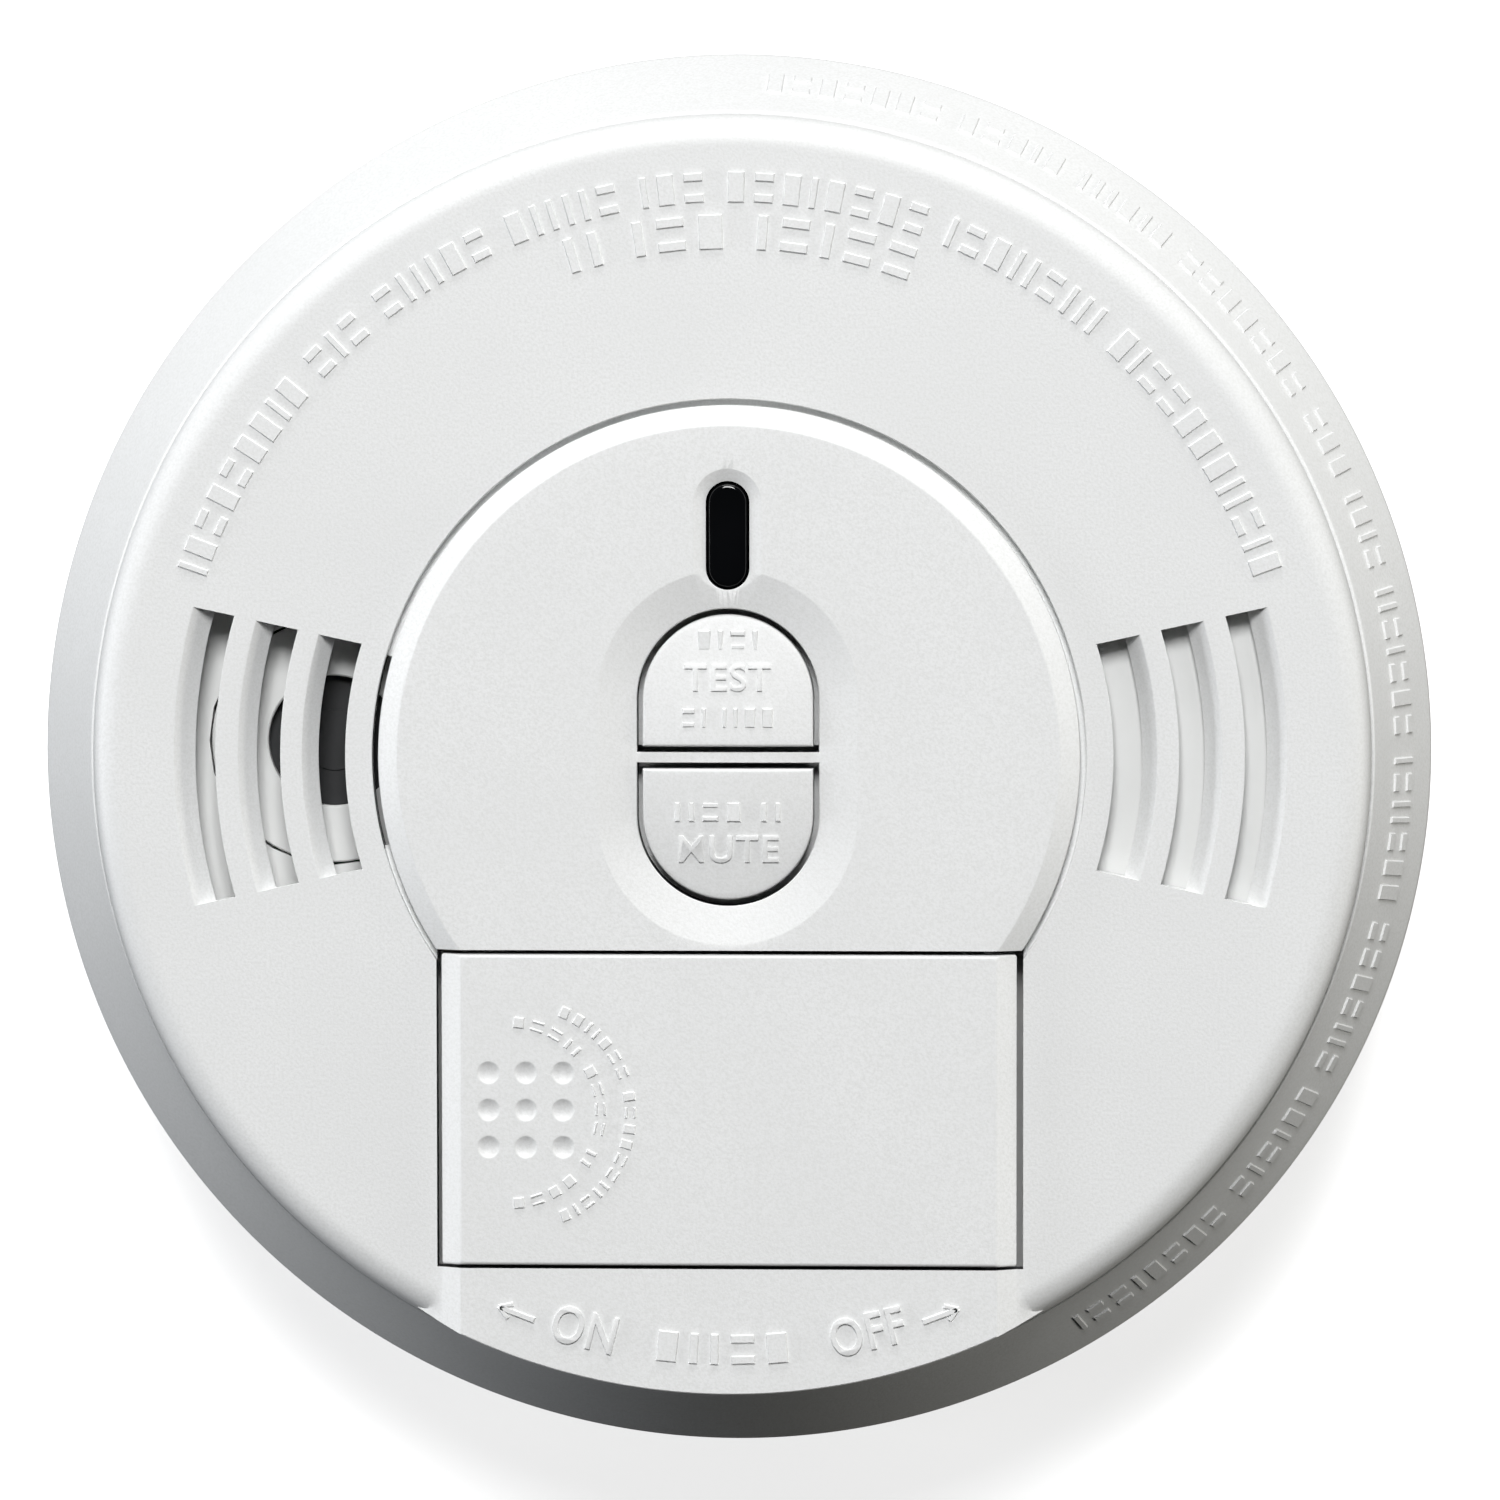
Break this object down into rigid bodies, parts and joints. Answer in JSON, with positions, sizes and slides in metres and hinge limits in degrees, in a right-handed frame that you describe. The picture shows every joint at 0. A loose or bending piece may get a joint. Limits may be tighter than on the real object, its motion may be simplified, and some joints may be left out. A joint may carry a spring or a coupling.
{
  "type": "smoke detector",
  "caption": "Round ceiling smoke alarm with louvred face, test and silence buttons, status lens, front battery door and a twist-off mounting bracket.",
  "frame": {"origin": "centre of the mounting bracket's flat back, in the plane of the ceiling or wall", "axes": "+Z out of the face; +X right and +Y up as the face is read, with the battery door towards -Y"},
  "size_m": [0.146, 0.146, 0.0452],
  "materials": {
    "white_case": "moulded ABS with a fine spark-eroded texture",
    "white_inner": "plain moulded ABS",
    "black_gloss": "smoked polycarbonate, polished",
    "black_plastic": "moulded black thermoplastic",
    "steel": "zinc-plated steel",
    "brass": "rolled brass strip",
    "ceramic": "fired ceramic",
    "board": "paper-phenolic laminate with solder mask",
    "battery_jacket": "printed steel jacket, left plain",
    "red_lens": "clear red epoxy",
    "green_lens": "clear green epoxy",
    "red_epoxy": "dipped epoxy",
    "capacitor_sleeve": "shrunk PVC sleeve",
    "copper_wire": "enamelled copper winding",
    "label_film": "blank metallised film"
  },
  "bodies": {
    "bracket": {"mounting_bracket": "white_inner"},
    "alarm_body": {"back_plate": "white_inner", "outer_housing": "white_case", "front_cover": "white_case", "battery_tray": "white_inner", "battery_9v": "battery_jacket", "battery_terminal_positive": "steel", "battery_terminal_negative": "steel", "battery_contact_positive": "brass", "battery_contact_negative": "brass", "test_button_spring": "steel", "test_switch_body": "black_plastic", "silence_button_spring": "steel", "silence_switch_body": "black_plastic", "status_lens": "black_gloss", "led_red": "red_lens", "led_green": "green_lens", "smoke_baffle": "white_inner", "horn_housing": "white_inner", "horn_resonator": "black_plastic", "horn_base": "white_inner", "piezo_disc": "brass", "piezo_ceramic": "ceramic", "circuit_board": "board", "mains_inlet": "black_plastic", "mains_pin_live": "brass", "mains_pin_interconnect": "brass", "mains_pin_neutral": "brass", "dropping_capacitor": "red_epoxy", "smoothing_capacitor": "capacitor_sleeve", "surge_varistor": "capacitor_sleeve", "horn_coil": "copper_wire", "alarm_chip": "black_plastic", "bridge_rectifier": "black_plastic", "power_resistor_1": "ceramic", "power_resistor_2": "ceramic", "chamber_base": "black_plastic", "chamber_can": "steel", "collector_plate": "steel", "source_holder": "steel", "housing_screw_1": "steel", "housing_screw_2": "steel", "housing_screw_3": "steel", "rating_label": "label_film"},
    "battery_door": {"battery_door": "white_case"},
    "test_button": {"test_button": "white_case"},
    "silence_button": {"silence_button": "white_case"},
    "test_plunger": {"test_switch_plunger": "black_plastic"},
    "silence_plunger": {"silence_switch_plunger": "black_plastic"}
  },
  "joints": [
    {"name": "alarm_twist", "type": "hinge", "parent": "bracket", "child": "alarm_body", "pos_m": [0, 0, 0.003], "axis": [0, 0, 1], "range_deg": [0, 20]},
    {"name": "door_hinge", "type": "hinge", "parent": "alarm_body", "child": "battery_door", "pos_m": [0.02705, -0.03625, 0.0421], "axis": [0, 1, 0], "range_deg": [0, 100]},
    {"name": "test_press", "type": "slide", "parent": "alarm_body", "child": "test_button", "axis": [0, 0, -1], "range_m": [0, 0.0008], "stiffness_N_per_m": 500, "springref_m": -0.002, "deforming": ["test_button_spring"]},
    {"name": "silence_press", "type": "slide", "parent": "alarm_body", "child": "silence_button", "axis": [0, 0, -1], "range_m": [0, 0.0008], "stiffness_N_per_m": 500, "springref_m": -0.002, "deforming": ["silence_button_spring"]},
    {"name": "test_plunger_slide", "type": "slide", "parent": "alarm_body", "child": "test_plunger", "axis": [0, 0, -1], "range_m": [0, 0.00025]},
    {"name": "silence_plunger_slide", "type": "slide", "parent": "alarm_body", "child": "silence_plunger", "axis": [0, 0, -1], "range_m": [0, 0.00025]}
  ],
  "couplings": [
    {"joint": "test_plunger_slide", "follows": "test_press", "ratio": 0.3125},
    {"joint": "silence_plunger_slide", "follows": "silence_press", "ratio": 0.3125}
  ]
}
